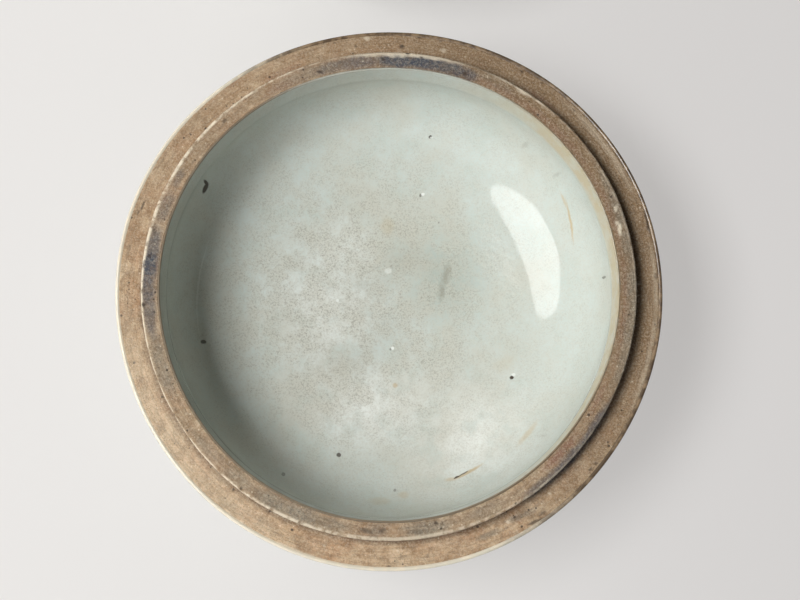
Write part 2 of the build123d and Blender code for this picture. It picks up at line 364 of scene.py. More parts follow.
DARK_MARKS = [
    (91.4, 37.7, 0.3, 0.22, 0.9, 0), (85.6, 38.9, 0.42, 0.3, 1.0, 20), (82.2, 38.4, 0.22, 0.16, 0.9, 0),
    (70.7, 37.4, 0.42, 0.34, 0.95, 0), (107.5, 37.2, 0.5, 0.22, 0.95, 25), (112.0, 37.6, 0.3, 0.14, 0.6, 0),
    (264.5, 37.9, 1.0, 0.3, 0.7, 12), (268.5, 37.8, 0.7, 0.26, 0.6, -30), (281, 37.4, 0.25, 0.2, 0.9, 0),
    (282.6, 37.6, 0.22, 0.18, 0.7, 0), (276, 38.2, 1.5, 0.3, 0.45, 0), (134.3, 38.1, 0.45, 0.3, 0.7, 0),
    (184.2, 38.75, 0.42, 0.3, 1.0, 0), (234.1, 38.7, 0.3, 0.22, 0.8, 0), (166.3, 38.3, 0.5, 0.16, 0.8, -40),
    (86.9, 41.1, 0.42, 0.34, 0.9, 0), (83.5, 42.9, 0.45, 0.18, 0.8, 0), (318, 42.3, 0.35, 0.25, 0.8, 0),
    (319.6, 42.5, 0.25, 0.2, 0.7, 0), (302, 42.9, 1.3, 0.22, 0.8, 10), (304, 42.5, 0.7, 0.2, 0.7, -15),
    (14, 43.2, 1.1, 0.3, 0.9, 0), (16, 43.3, 0.9, 0.3, 0.9, 0), (11.5, 43.4, 0.7, 0.25, 0.8, 0),
    (59.3, 42.7, 0.35, 0.2, 0.8, 0), (54.0, 42.9, 0.3, 0.2, 0.6, 0), (44.6, 42.6, 0.25, 0.18, 0.6, 0),
    (161, 42.25, 1.6, 0.09, 0.9, 5), (270, 43.4, 0.4, 0.2, 0.7, 0), (258, 43.6, 0.3, 0.18, 0.7, 0),
    (243, 43.4, 0.3, 0.16, 0.6, 0), (3, 42.9, 0.5, 0.3, 0.5, 0), (97.5, 41.4, 0.25, 0.18, 0.6, 0),
    (102, 42.6, 0.3, 0.2, 0.6, 0), (78.5, 42.8, 0.3, 0.2, 0.6, 0), (172.5, 38.3, 0.3, 0.3, 0.9, 0),
]
PALE_MARKS = [
    (14.2, 37.9, 0.95, 0.32, 1.0, 12), (16.0, 37.8, 0.4, 0.3, 0.9, 0), (19.3, 38.3, 0.5, 0.32, 0.7, 20),
    (94.9, 42.6, 0.5, 0.35, 0.7, 0), (307.8, 40.7, 0.25, 0.2, 0.8, 0), (297, 40.9, 0.35, 0.2, 0.8, 0),
    (13.2, 43.2, 0.3, 0.2, 0.9, 0), (77.5, 41.3, 0.6, 0.35, 0.5, 0), (10.0, 43.5, 0.3, 0.2, 0.7, 0),
    (86.5, 38.75, 9.0, 0.42, 0.85, 0), (88.0, 38.3, 1.4, 0.2, 0.6, 0), (56, 38.9, 1.6, 0.22, 0.8, 0),
    (51, 39.0, 1.0, 0.2, 0.7, 0), (61, 39.0, 2.0, 0.16, 0.6, 0), (256, 41.2, 0.2, 0.2, 0.6, 0),
    (272, 41.0, 0.25, 0.2, 0.7, 0), (1.5, 40.1, 0.2, 0.2, 0.7, 0), (340, 39.0, 0.25, 0.2, 0.7, 0),
    (236, 43.3, 3.0, 0.3, 0.7, 0), (250, 43.3, 4.0, 0.3, 0.5, 0), (35, 42.6, 9.0, 0.5, 0.28, 0),
    (345, 42.6, 8.0, 0.45, 0.24, 0), (2, 42.7, 6.0, 0.4, 0.26, 0), (215, 41.8, 22.0, 2.2, 0.22, 0),
]

# Each kind of mark on the clay: its table, and how soft its edge is
CLAY_MARKS = {
    "cobalt": (COBALT_MARKS, 0.5),
    "grey": (GREY_MARKS, 0.6),
    "brown": (BROWN_MARKS, 0.6),
    "rust": (RUST_MARKS, 0.6),
    "pale": (PALE_MARKS, 0.4),
    "dark": (DARK_MARKS, 0.4),
}

# Marks on the bowl's glaze, by their places seen from above
BOWL_CHIP = [spot(-30.4, 18.2, 0.95, 0.2, 1.0, 62), spot(-30.2, 18.9, 0.3, 0.24, 1.0, 62)]
BOWL_DARK = [
    spot(-30.8, -6.8, 0.42, 0.36, 0.8), spot(-8.3, -25.3, 0.36, 0.36, 0.85), spot(35.2, 3.1, 0.22, 0.22, 0.6),
    spot(-17.1, -28.7, 0.3, 0.3, 0.5), spot(1.0, -31.2, 0.25, 0.25, 0.45), spot(20.6, -12.4, 0.32, 0.3, 1.0),
    spot(7.1, 28.9, 0.26, 0.24, 0.95), spot(5.5, 19.2, 0.2, 0.3, 0.6), spot(0.3, -7.3, 0.2, 0.22, 0.5),
    spot(11.1, -29.1, 0.5, 0.14, 0.9, 25), spot(12.2, -28.5, 0.9, 0.1, 0.7, 28),
    spot(8.6, 14.6, 0.18, 0.18, 0.4),
]
BOWL_TAN = [
    spot(12.8, -28.4, 2.6, 0.24, 0.75, 27), spot(10.3, -29.4, 1.0, 0.3, 0.5, 10),
    spot(22.8, -22.0, 2.2, 0.4, 0.4, 50),
    spot(30.5, 13.4, 3.2, 0.16, 0.7, 101), spot(29.4, 16.8, 1.2, 0.14, 0.5, 112),
    spot(1.1, -13.5, 0.4, 0.4, 0.6),
    spot(-0.3, 14.1, 1.1, 1.4, 0.25), spot(19.5, -10.0, 2.0, 1.0, 0.12, 30),
    spot(-1.5, -33.0, 1.6, 0.6, 0.22),
    spot(2.4, -32.0, 0.8, 0.5, 0.3),
]
BOWL_SMUDGE = [
    spot(9.9, 5.4, 1.8, 0.6, 0.8, 78), spot(9.0, 2.6, 1.3, 0.5, 0.8, 82), spot(-4.6, 3.8, 1.6, 0.9, 0.25, 20),
    spot(28, 20.8, 0.5, 0.35, 0.4), spot(22.9, 26.1, 0.5, 0.35, 0.4), spot(25.1, -22.6, 0.6, 0.3, 0.3),
    spot(-6, -9, 5.0, 3.5, 0.18), spot(3.0, 8.0, 4.0, 2.6, 0.16), spot(-2, -1, 7.0, 4.0, 0.12),
]
# Paler and darker patches of the bowl's glaze: partly its own uneven tone, partly painted light left of the
# middle and towards the bottom, and painted shade right of the middle and on the lower left wall
BOWL_PALE_AND_LIT = [
    spot(-10, -1, 9, 8, 0.8), spot(-3, -17, 11, 6, 0.95), spot(13, -22, 9, 7, 1.0, 35),
    spot(-8, 9, 6, 5, 0.6),
]
BOWL_DEEP_AND_SHADED = [spot(9.5, 5, 7.5, 6, 0.75, 80), spot(4, 9, 6, 4, 0.5, 20), spot(-30, -20, 7, 5, 0.4, 120)]
# White spots and burst bubbles; the first row is a thin pale arc on the left wall, a painted reflection
BOWL_WHITE_AND_REFLECTION = [
    (176, 32.0, 7.5, 0.12, 0.35, 0), spot(5.95, 19.4, 0.3, 0.26, 1.0), spot(-8.8, 1.1, 0.26, 0.26, 0.9),
    spot(0.65, -7.1, 0.28, 0.26, 1.0),
    spot(20.9, -11.9, 0.34, 0.24, 0.9), spot(7.3, 28.8, 0.26, 0.12, 0.6), spot(-0.1, 6.3, 0.6, 0.5, 0.5),
]


class SEALBOX_OT_materials(Operator):
    """Makes the clay, the glazes and the floor's paper"""

    bl_idname = "sealbox.materials"
    bl_label = "Make materials"

    def execute(self, context):
        colours = context.scene.sealbox_colours
        make_clay("Stained biscuit", colours, marked=True, middle_y=0.0)
        make_clay("Plain biscuit", colours, marked=False, middle_y=LID_Y)
        make_bowl_glaze("Speckled bowl glaze", colours, marked=True, middle_y=0.0)
        make_bowl_glaze("Speckled lid glaze", colours, marked=False, middle_y=LID_Y)
        make_outside_glaze("Ringed base glaze", colours, "base", middle_y=0.0)
        make_outside_glaze("Ringed lid glaze", colours, "lid", middle_y=LID_Y)
        make_paper("Pale paper", colours)
        return {"FINISHED"}


def make_clay(name, colours, marked, middle_y):
    """Unglazed porcelain, turned and fired: matt, tan where iron flashed it, with grit and old dirt."""
    material, tree = start_material(name)
    place, radius, height, turned = turned_place(tree, middle_y)
    ragged = fray(tree, place, uneven_push(tree, place, 1.1, 4.0), 0.9)
    # tool lines from the turning, 0.3 to 1 mm apart
    tool = patches(tree, turned, 0.45, 0.40, 0.66, detail=4.0)
    mottle = patches(tree, ragged, 2.6, 0.38, 0.62, detail=5.0, rough=0.65)
    fine = patches(tree, place, 0.33, 0.44, 0.62, detail=3.0, rough=0.75)
    smut = patches(tree, place, 0.55, 0.50, 0.66, detail=4.0, rough=0.75)
    darkening = patches(tree, ragged, 1.3, 0.50, 0.66, detail=6.0, rough=0.7)
    iron = specks(tree, place, 1.15, 0.5, 0.45)
    pores = patches(tree, place, 0.26, 0.60, 0.70, detail=2.0, rough=0.8)
    grit = specks(tree, place, 0.7, 0.34, 0.4)
    streaks = patches(tree, turned, 0.30, 0.46, 0.66, detail=5.0, rough=0.7)
    flash = patches(tree, ragged, 6.0, 0.46, 0.64, detail=5.0, rough=0.6)
    blotch = patches(tree, ragged, 3.6, 0.50, 0.64, detail=6.0, rough=0.72)
    layers = [
        (colours.clay_warm, mottle, 0.75),
        (colours.clay_flash, flash, 0.40),
        (colours.clay_dark, tool, 0.30),
        (colours.clay_dark, darkening, 0.55),
    ]
    if marked:
        parts = add_node(tree, "ShaderNodeSeparateXYZ", {0: place}).outputs
        # the clay is darker towards +X, and less so towards +Y
        toward = add_node(tree, "ShaderNodeMath", {0: parts[0], 1: 0.86}, operation="MULTIPLY").outputs[0]
        away = add_node(tree, "ShaderNodeMath", {0: parts[1], 1: 0.5}, operation="MULTIPLY").outputs[0]
        both = add_node(tree, "ShaderNodeMath", {0: toward, 1: away}, operation="ADD").outputs[0]
        darker_towards_plus_x = add_node(tree, "ShaderNodeMapRange", {
            "Value": both, "From Min": -2 * MM, "From Max": 34 * MM,
        }, interpolation_type="SMOOTHSTEP").outputs[0]
        # painted shade, with some old dirt, darkens the corner where the flange stands on the ledge
        corner = add_node(tree, "ShaderNodeMapRange", {
            "Value": radius, "From Min": 40.5 * MM, "From Max": 39.3 * MM,
        }, interpolation_type="SMOOTHSTEP").outputs[0]
        low = add_node(tree, "ShaderNodeMapRange", {
            "Value": height, "From Min": LEDGE_HEIGHT + 1.2 * MM, "From Max": LEDGE_HEIGHT + 0.1 * MM,
        }, interpolation_type="SMOOTHSTEP").outputs[0]
        corner_shade_and_dirt = add_node(tree, "ShaderNodeMath", {0: corner, 1: low}, operation="MULTIPLY").outputs[0]
        # the flange's outer corner is rubbed back to pale clay; painted highlight makes this pale edge
        # stronger towards -X, and it fades towards +X
        edge = add_node(tree, "ShaderNodeMapRange", {
            "Value": radius, "From Min": 38.65 * MM, "From Max": 39.0 * MM,
        }, interpolation_type="SMOOTHSTEP").outputs[0]
        high = add_node(tree, "ShaderNodeMapRange", {
            "Value": height, "From Min": LEDGE_HEIGHT + 1.4 * MM, "From Max": LEDGE_HEIGHT + 2.2 * MM,
        }, interpolation_type="SMOOTHSTEP").outputs[0]
        pale_edge = add_node(tree, "ShaderNodeMath", {0: edge, 1: high}, operation="MULTIPLY").outputs[0]
        rubbed = patches(tree, ragged, 1.6, 0.36, 0.58, detail=5.0, rough=0.65)
        edge_fainter_towards_plus_x = add_node(tree, "ShaderNodeMapRange", {
            "Value": darker_towards_plus_x, "To Min": 1.0, "To Max": 0.5,
        }).outputs[0]
        pale_edge = add_node(tree, "ShaderNodeMath", {0: pale_edge, 1: rubbed}, operation="MULTIPLY").outputs[0]
        pale_edge = add_node(tree, "ShaderNodeMath", {0: pale_edge, 1: edge_fainter_towards_plus_x}, operation="MULTIPLY").outputs[0]
        painted_highlight_towards_minus_x = add_node(tree, "ShaderNodeMapRange", {
            "Value": parts[0], "From Min": -30 * MM, "From Max": 5 * MM, "To Min": 1.0, "To Max": 0.6,
        }, interpolation_type="SMOOTHSTEP").outputs[0]
        pale_edge = add_node(tree, "ShaderNodeMath", {0: pale_edge, 1: painted_highlight_towards_minus_x}, operation="MULTIPLY").outputs[0]
        broken = patches(tree, ragged, 0.8, 0.36, 0.58, detail=5.0, rough=0.7)
        found = {
            kind: add_node(tree, "ShaderNodeAttribute", attribute_name=kind).outputs["Fac"]
            for kind in CLAY_MARKS
        }
        streaked = add_node(tree, "ShaderNodeMapRange", {
            "Value": broken, "To Min": 0.72, "To Max": 1.0,
        }).outputs[0]
        cobalt = add_node(tree, "ShaderNodeMath", {
            0: found["cobalt"], 1: streaked,
        }, operation="MULTIPLY").outputs[0]
        grey = add_node(tree, "ShaderNodeMath", {
            0: found["grey"], 1: streaked,
        }, operation="MULTIPLY").outputs[0]
        raised = patches(tree, ragged, 1.7, 0.34, 0.58, detail=5.0, rough=0.65)
        raised = add_node(tree, "ShaderNodeMapRange", {
            "Value": raised, "To Min": 0.45, "To Max": 1.0,
        }).outputs[0]
        raised = add_node(tree, "ShaderNodeMath", {0: raised, 1: high}, operation="MULTIPLY").outputs[0]
        layers += [
            (colours.clay_dark, raised, 0.26),
            (colours.grey_dirt, raised, 0.15),
            (colours.clay_dark, darker_towards_plus_x, 0.8),
            (colours.clay_dark, found["brown"], 0.8),
            # painted shade with some dirt in the corner at the flange's foot
            (colours.dirt, corner_shade_and_dirt, 0.55),
            (colours.rust, found["rust"], 0.9),
            (colours.grey_dirt, grey, 0.85),
            (colours.cobalt, cobalt, 0.92),
        ]
    layers += [
        (colours.clay_dark, blotch, 0.42),
        (colours.cream, fine, 0.24),
        (colours.clay_dark, smut, 0.40),
        (colours.dirt, streaks, 0.22),
        (colours.cream, grit, 0.42),
        (colours.dirt, pores, 0.42),
        (colours.dirt, iron, 0.80),
    ]
    if marked:
        layers += [
            (colours.cobalt, cobalt, 0.35),
            # rubbed pale edge, with painted highlight towards -X
            (colours.cream, pale_edge, 0.9),
            (colours.cream, found["pale"], 0.8),
            (colours.dirt, found["dark"], 0.95),
        ]
    seen = lay_colours(tree, colours.clay_light, layers)
    # grit of 0.1 to 0.3 mm, drawn at 0.3 mm so that it shows
    rough = add_node(tree, "ShaderNodeTexNoise", {
        "Vector": place, "Scale": 1 / (0.32 * MM), "Detail": 3.0, "Roughness": 0.65,
    }).outputs[0]
    relief = add_node(tree, "ShaderNodeBump", {
        "Height": rough, "Strength": 0.8, "Distance": 0.24 * MM,
    }).outputs[0]
    relief = add_node(tree, "ShaderNodeBump", {
        "Height": tool, "Strength": 0.5, "Distance": 0.07 * MM, "Normal": relief,
    }).outputs[0]
    relief = add_node(tree, "ShaderNodeBump", {
        "Height": iron, "Strength": 0.6, "Distance": 0.1 * MM, "Normal": relief,
    }, invert=True).outputs[0]
    matt = add_node(tree, "ShaderNodeMapRange", {"Value": darkening, "To Min": 0.86, "To Max": 0.62}).outputs[0]
    shader = add_node(tree, "ShaderNodeBsdfPrincipled", {
        "Base Color": seen, "Roughness": matt, "IOR": 1.5, "Normal": relief,
    })
    add_node(tree, "ShaderNodeOutputMaterial", {"Surface": shader.outputs[0]})
    return material


def make_bowl_glaze(name, colours, marked, middle_y):
    """Clear-fired celadon-white glaze on porcelain: wet gloss, fine grey-brown speckle, a few pinholes."""
    material, tree = start_material(name)
    place, radius, height = turned_place(tree, middle_y)[:3]
    push = uneven_push(tree, place, 0.9, 3.0)
    ragged = fray(tree, place, push, 0.35)
    warm = patches(tree, place, 11.0, 0.42, 0.68, detail=4.0)
    cool = patches(tree, place, 4.5, 0.45, 0.70, detail=4.0)
    pores = patches(tree, place, 0.38, 0.42, 0.64, detail=3.0, rough=0.7)
    # speckle of 0.1 to 0.2 mm, drawn at 0.3 to 0.5 mm so that it shows, and thickest about the middle
    dust = patches(tree, place, 0.30, 0.46, 0.66, detail=2.0, rough=0.85)
    clouds = patches(tree, place, 3.2, 0.34, 0.60, detail=6.0, rough=0.7)
    off_middle = add_node(tree, "ShaderNodeVectorMath", {
        0: place, 1: (-6 * MM, 1 * MM, 0.008),
    }, operation="DISTANCE").outputs["Value"]
    inner = add_node(tree, "ShaderNodeMapRange", {
        "Value": off_middle, "From Min": 33 * MM, "From Max": 11 * MM, "To Min": 0.35, "To Max": 1.0,
    }, interpolation_type="SMOOTHSTEP").outputs[0]
    dust = add_node(tree, "ShaderNodeMath", {0: dust, 1: clouds}, operation="MULTIPLY").outputs[0]
    dust = add_node(tree, "ShaderNodeMath", {0: dust, 1: inner}, operation="MULTIPLY").outputs[0]
    veil = add_node(tree, "ShaderNodeMath", {0: clouds, 1: inner}, operation="MULTIPLY").outputs[0]
    layers = [
        (colours.glaze_warm, warm, 0.45),
        (colours.glaze_cool, cool, 0.5),
        (colours.glaze_warm, pores, 0.35),
        (colours.glaze_warm, veil, 0.5),
        (colours.speckle, dust, 0.62),
    ]
    pits = dust
    if marked:
        parts = add_node(tree, "ShaderNodeSeparateXYZ", {0: place}).outputs
        # the strip above the crease is stained yellow towards +X
        strip = add_node(tree, "ShaderNodeMapRange", {
            "Value": height, "From Min": RIM_HEIGHT - 4.6 * MM, "From Max": RIM_HEIGHT - 3.0 * MM,
        }, interpolation_type="SMOOTHSTEP").outputs[0]
        side = add_node(tree, "ShaderNodeMapRange", {
            "Value": parts[0], "From Min": 8 * MM, "From Max": 30 * MM,
        }, interpolation_type="SMOOTHSTEP").outputs[0]
        yellow = add_node(tree, "ShaderNodeMath", {0: strip, 1: side}, operation="MULTIPLY").outputs[0]
        uneven = patches(tree, ragged, 2.4, 0.30, 0.6, detail=4.0)
        uneven = add_node(tree, "ShaderNodeMapRange", {
            "Value": uneven, "To Min": 0.55, "To Max": 1.0,
        }).outputs[0]
        yellow = add_node(tree, "ShaderNodeMath", {0: yellow, 1: uneven}, operation="MULTIPLY").outputs[0]
        # painted shade: the lip takes the dark clay colour and a patchy grey stain, except towards +X and +Y,
        # where it is lit and keeps the glaze's colour
        lip = add_node(tree, "ShaderNodeMapRange", {
            "Value": height, "From Min": RIM_HEIGHT - 0.5 * MM, "From Max": RIM_HEIGHT - 0.22 * MM,
        }, interpolation_type="SMOOTHSTEP").outputs[0]
        lip_break = patches(tree, ragged, 1.2, 0.28, 0.56, detail=4.0)
        bright = add_node(tree, "ShaderNodeMath", {0: parts[0], 1: parts[1]}, operation="ADD").outputs[0]
        bright = add_node(tree, "ShaderNodeMapRange", {
            "Value": bright, "From Min": 6 * MM, "From Max": 26 * MM, "To Min": 0.05, "To Max": 0.75,
        }, interpolation_type="SMOOTHSTEP").outputs[0]
        lip_lit_part = add_node(tree, "ShaderNodeMath", {0: lip, 1: bright}, operation="MULTIPLY").outputs[0]
        lip_dark_clay_and_shade = add_node(tree, "ShaderNodeMath", {0: lip, 1: lip_lit_part}, operation="SUBTRACT").outputs[0]
        lip_stain_and_shade = add_node(tree, "ShaderNodeMath", {
            0: lip_dark_clay_and_shade, 1: lip_break,
        }, operation="MULTIPLY").outputs[0]
        soft = fray(tree, place, push, 1.5)
        chip = marks(tree, place, BOWL_CHIP, edge=0.25)
        pits = marks(tree, ragged, BOWL_DARK, edge=0.25)
        pits = add_node(tree, "ShaderNodeMath", {0: pits, 1: chip}, operation="MAXIMUM").outputs[0]
        layers = [
            # paler and darker glaze, partly painted light and painted shade
            (colours.glaze_pale_and_lit, marks(tree, soft, BOWL_PALE_AND_LIT, edge=0.9), 0.9),
            (colours.glaze_deep_and_shaded, marks(tree, soft, BOWL_DEEP_AND_SHADED, edge=0.9), 0.9),
        ] + layers + [
            (colours.stain_yellow, yellow, 0.62),
            # painted shade on the lip away from +X and +Y, in dark clay with a grey stain
            (colours.clay_dark, lip_dark_clay_and_shade, 0.9),
            (colours.grey_dirt, lip_stain_and_shade, 0.45),
            (colours.speckle, marks(tree, soft, BOWL_SMUDGE, edge=0.8), 0.7),
            (colours.stain_yellow, marks(tree, ragged, BOWL_TAN, edge=0.5), 0.9),
            (colours.dirt, pits, 0.95),
            # white spots and bubbles, with a painted reflection on the left wall
            (colours.bubble_and_reflection, marks(tree, ragged, BOWL_WHITE_AND_REFLECTION, edge=0.3), 0.9),
        ]
    seen = lay_colours(tree, colours.glaze, layers)
    # long shallow waves of the melted coat, and a fine orange peel
    wave = add_node(tree, "ShaderNodeTexNoise", {
        "Vector": place, "Scale": 1 / (5.0 * MM), "Detail": 1.0,
    }).outputs[0]
    peel = add_node(tree, "ShaderNodeTexNoise", {
        "Vector": place, "Scale": 1 / (0.8 * MM), "Detail": 3.0,
    }).outputs[0]
    smoother = add_node(tree, "ShaderNodeMapRange", {
        "Value": radius, "From Min": 21.5 * MM, "From Max": 24.5 * MM, "To Min": 1.0, "To Max": 0.08,
    }, interpolation_type="SMOOTHSTEP").outputs[0]
    peel = add_node(tree, "ShaderNodeMath", {0: peel, 1: smoother}, operation="MULTIPLY").outputs[0]
    relief = add_node(tree, "ShaderNodeBump", {
        "Height": wave, "Strength": 0.5, "Distance": 0.10 * MM,
    }).outputs[0]
    relief = add_node(tree, "ShaderNodeBump", {
        "Height": peel, "Strength": 1.0, "Distance": 0.045 * MM, "Normal": relief,
    }).outputs[0]
    relief = add_node(tree, "ShaderNodeBump", {
        "Height": pits, "Strength": 0.8, "Distance": 0.12 * MM, "Normal": relief,
    }, invert=True).outputs[0]
    gloss = add_node(tree, "ShaderNodeMapRange", {"Value": dust, "To Min": 0.06, "To Max": 0.16}).outputs[0]
    shader = add_node(tree, "ShaderNodeBsdfPrincipled", {
        "Base Color": seen, "Roughness": gloss, "IOR": 1.5, "Specular IOR Level": 0.2, "Normal": relief,
    })
    add_node(tree, "ShaderNodeOutputMaterial", {"Surface": shader.outputs[0]})
    return material


def make_outside_glaze(name, colours, rings, middle_y):
    """Clear-fired pale glaze over thin brushed cobalt rings: glossy, a little uneven in tone."""
    material, tree = start_material(name)
    place, radius, height, turned = turned_place(tree, middle_y)
    # the brush strayed by up to a third of a millimetre as the piece turned
    stray = add_node(tree, "ShaderNodeTexNoise", {
        "Vector": place, "Scale": 1 / (6 * MM), "Detail": 2.0,
    }).outputs[0]
    stray = add_node(tree, "ShaderNodeMapRange", {
        "Value": stray, "To Min": -0.35 * MM, "To Max": 0.35 * MM,
    }).outputs[0]
    tone = patches(tree, place, 9.0, 0.40, 0.66, detail=4.0)
    cool = patches(tree, place, 3.5, 0.45, 0.72, detail=4.0)
    dust = specks(tree, place, 1.4, 0.4, 0.25)
    brush = patches(tree, turned, 0.8, 0.25, 0.6, detail=4.0)
    strength = patches(tree, place, 5.0, 0.2, 0.7, detail=4.0)
    layers = [
        (colours.glaze_warm, tone, 0.35),
        (colours.glaze_cool, cool, 0.4),
        (colours.speckle, dust, 0.6),
    ]
    if rings == "base":
        lines = [(height, LEDGE_HEIGHT - 2.2 * MM), (height, LEDGE_HEIGHT - 3.6 * MM), (radius, 29.5 * MM)]
        across = add_node(tree, "ShaderNodeVectorMath", {
            0: place, 1: (1.0, 0.6, 0.0),
        }, operation="DOT_PRODUCT").outputs["Value"]
        edge = add_node(tree, "ShaderNodeMapRange", {
            "Value": height, "From Min": LEDGE_HEIGHT - 0.9 * MM, "From Max": LEDGE_HEIGHT - 0.3 * MM,
        }, interpolation_type="SMOOTHSTEP").outputs[0]
        # painted shade: the coat's outer edge darkens towards +X and +Y, broken into patches with dirt in its
        # chips
        shaded_side = add_node(tree, "ShaderNodeMapRange", {
            "Value": across, "From Min": -12 * MM, "From Max": 14 * MM,
        }, interpolation_type="SMOOTHSTEP").outputs[0]
        broken = patches(tree, place, 1.5, 0.36, 0.60, detail=5.0)
        darkening = add_node(tree, "ShaderNodeMath", {0: edge, 1: shaded_side}, operation="MULTIPLY").outputs[0]
        chipped_and_shaded = add_node(tree, "ShaderNodeMath", {0: darkening, 1: broken}, operation="MULTIPLY").outputs[0]
        thin = add_node(tree, "ShaderNodeMapRange", {
            "Value": broken, "To Min": 1.0, "To Max": 0.7,
        }).outputs[0]
        pale_edge = add_node(tree, "ShaderNodeMath", {0: edge, 1: thin}, operation="MULTIPLY").outputs[0]
        layers += [
            (colours.clay_warm, edge, 0.2),
            (colours.cream, pale_edge, 0.9),
            # painted shade along the outer edge towards +X and +Y, with dirt in chips
            (colours.clay_dark, darkening, 0.9),
            (colours.dirt, chipped_and_shaded, 0.7),
        ]
    else:
        lines = [(height, LID_HEIGHT - 2.2 * MM), (height, LID_HEIGHT - 3.6 * MM)]
        lines += [(radius, 30.4 * MM), (radius, 28.6 * MM)]
    drawn = add_node(tree, "ShaderNodeMapRange", {"Value": strength, "To Min": 0.5, "To Max": 1.0}).outputs[0]
    for along, where in lines:
        off = add_node(tree, "ShaderNodeMath", {0: along, 1: stray}, operation="ADD").outputs[0]
        off = add_node(tree, "ShaderNodeMath", {0: off, 1: where}, operation="SUBTRACT").outputs[0]
        off = add_node(tree, "ShaderNodeMath", {0: off}, operation="ABSOLUTE").outputs[0]
        line = add_node(tree, "ShaderNodeMapRange", {
            "Value": off, "From Min": 0.50 * MM, "From Max": 0.20 * MM,
        }, interpolation_type="SMOOTHSTEP").outputs[0]
        line = add_node(tree, "ShaderNodeMath", {0: line, 1: drawn}, operation="MULTIPLY").outputs[0]
        layers.append((colours.cobalt, line, 0.75))
    seen = lay_colours(tree, colours.outside, layers)
    wave = add_node(tree, "ShaderNodeTexNoise", {
        "Vector": turned, "Scale": 1 / (4.0 * MM), "Detail": 1.0,
    }).outputs[0]
    relief = add_node(tree, "ShaderNodeBump", {
        "Height": wave, "Strength": 0.5, "Distance": 0.10 * MM,
    }).outputs[0]
    gloss = add_node(tree, "ShaderNodeMapRange", {"Value": brush, "To Min": 0.10, "To Max": 0.16}).outputs[0]
    shader = add_node(tree, "ShaderNodeBsdfPrincipled", {
        "Base Color": seen, "Roughness": gloss, "IOR": 1.5, "Normal": relief,
    })
    add_node(tree, "ShaderNodeOutputMaterial", {"Surface": shader.outputs[0]})
    return material


# Share of the paper that glows in its own colour for the camera, as painted light of the wide pale room and
# not of the lamps
PAPER_GLOW = 0.66


def make_paper(name, colours):
    """Matt pale paper under the box, with painted shade making it a little darker towards +X."""
    material, tree = start_material(name)
    place = add_node(tree, "ShaderNodeTexCoord").outputs["Object"]
    parts = add_node(tree, "ShaderNodeSeparateXYZ", {0: place}).outputs
    # painted shade: the paper darkens towards +X
    painted_shade_fall = add_node(tree, "ShaderNodeMapRange", {
        "Value": parts[0], "From Min": -70 * MM, "From Max": 90 * MM,
    }, interpolation_type="SMOOTHSTEP").outputs[0]
    seen = add_node(tree, "ShaderNodeMix", {
        0: painted_shade_fall, 6: colours.floor, 7: colours.floor_painted_shade,
    }, data_type="RGBA").outputs[2]
    shader = add_node(tree, "ShaderNodeBsdfPrincipled", {"Base Color": seen, "Roughness": 0.95})
    room = add_node(tree, "ShaderNodeEmission", {"Color": seen})
    ray = add_node(tree, "ShaderNodeLightPath").outputs["Is Camera Ray"]
    share = add_node(tree, "ShaderNodeMath", {0: ray, 1: PAPER_GLOW}, operation="MULTIPLY").outputs[0]
    paper = add_node(tree, "ShaderNodeMixShader", {0: share, 1: shader.outputs[0], 2: room.outputs[0]})
    add_node(tree, "ShaderNodeOutputMaterial", {"Surface": paper.outputs[0]})
    return material


def turn_piece(name, material, start, moves, segments, middle_y=0.0):
    """Draws a half section from its start through its moves, and turns it about its upright axis.

    A move is ("line", radius, height, steps) or ("arc", centre radius, centre height, degrees, steps), where
    degrees are positive from +X towards +Z.
    """
    bpy.ops.object.select_all(action="DESELECT")
    bpy.ops.mesh.primitive_plane_add(size=MM)
    piece = bpy.context.object
    piece.name = name
    piece.data.name = name
    bpy.ops.object.mode_set(mode="EDIT")
    bpy.ops.mesh.select_all(action="SELECT")
    bpy.ops.mesh.merge(type="CENTER")
    bpy.ops.transform.translate(value=(start[0], 0.0, start[1]))
    here = start
    for move in moves:
        if move[0] == "line":
            radius, height, steps = move[1:]
            step = Vector(((radius - here[0]) / steps, 0.0, (height - here[1]) / steps))
            for count in range(steps):
                bpy.ops.mesh.extrude_vertices_move(TRANSFORM_OT_translate={"value": step})
            here = (radius, height)
        else:
            centre_radius, centre_height, swing, steps = move[1:]
            bpy.ops.mesh.spin(
                steps=steps,
                angle=radians(swing),
                center=(centre_radius, 0.0, centre_height),
                axis=(0.0, 1.0, 0.0),
            )
            far = hypot(here[0] - centre_radius, here[1] - centre_height)
            way = atan2(here[1] - centre_height, here[0] - centre_radius) + radians(swing)
            here = (centre_radius + far * cos(way), centre_height + far * sin(way))
    bpy.ops.object.mode_set(mode="OBJECT")
    wheel = piece.modifiers.new("Wheel", "SCREW")
    wheel.axis = "Z"
    wheel.angle = 2 * pi
    wheel.steps = segments
    wheel.render_steps = segments
    wheel.use_merge_vertices = True
    wheel.merge_threshold = MM / 1000
    bpy.ops.object.modifier_apply(modifier=wheel.name)
    bpy.ops.object.mode_set(mode="EDIT")
    bpy.ops.mesh.select_all(action="SELECT")
    bpy.ops.mesh.remove_doubles(threshold=MM / 1000)
    bpy.ops.mesh.normals_make_consistent(inside=False)
    bpy.ops.transform.translate(value=(0.0, middle_y, 0.0))
    bpy.ops.object.mode_set(mode="OBJECT")
    piece.data.materials.append(bpy.data.materials[material])
    return piece


